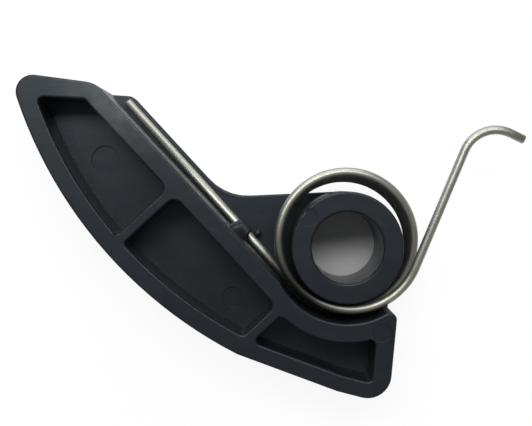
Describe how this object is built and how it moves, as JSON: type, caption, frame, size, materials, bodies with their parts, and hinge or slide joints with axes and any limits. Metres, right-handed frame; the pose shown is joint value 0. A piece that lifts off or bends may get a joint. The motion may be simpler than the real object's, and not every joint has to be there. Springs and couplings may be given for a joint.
{
  "type": "timing chain tensioner",
  "caption": "Moulded chain tensioner arm: a curved slide rail with ribbed pockets on a pivot hub, loaded by a wire torsion spring round the hub.",
  "frame": {"origin": "pivot bore's axis at the back face", "axes": "+Z along the pivot bore, from the back face to the front; +X and +Y in the plane of the back face"},
  "size_m": [0.1137, 0.0719, 0.022],
  "materials": {
    "moulded_plastic": "satin black moulded polyamide",
    "spring_wire": "drawn spring steel wire, faint olive tint"
  },
  "bodies": {
    "arm": {"tensioner_arm": "moulded_plastic"},
    "spring": {"torsion_spring": "spring_wire"}
  },
  "joints": [
    {"name": "spring_wind", "type": "hinge", "parent": "arm", "child": "spring", "pos_m": [0, 0, 0], "axis": [0, 0, 1], "range_deg": [0, 60], "stiffness_Nm_per_rad": 0.38, "deforming": ["torsion_spring"]}
  ]
}
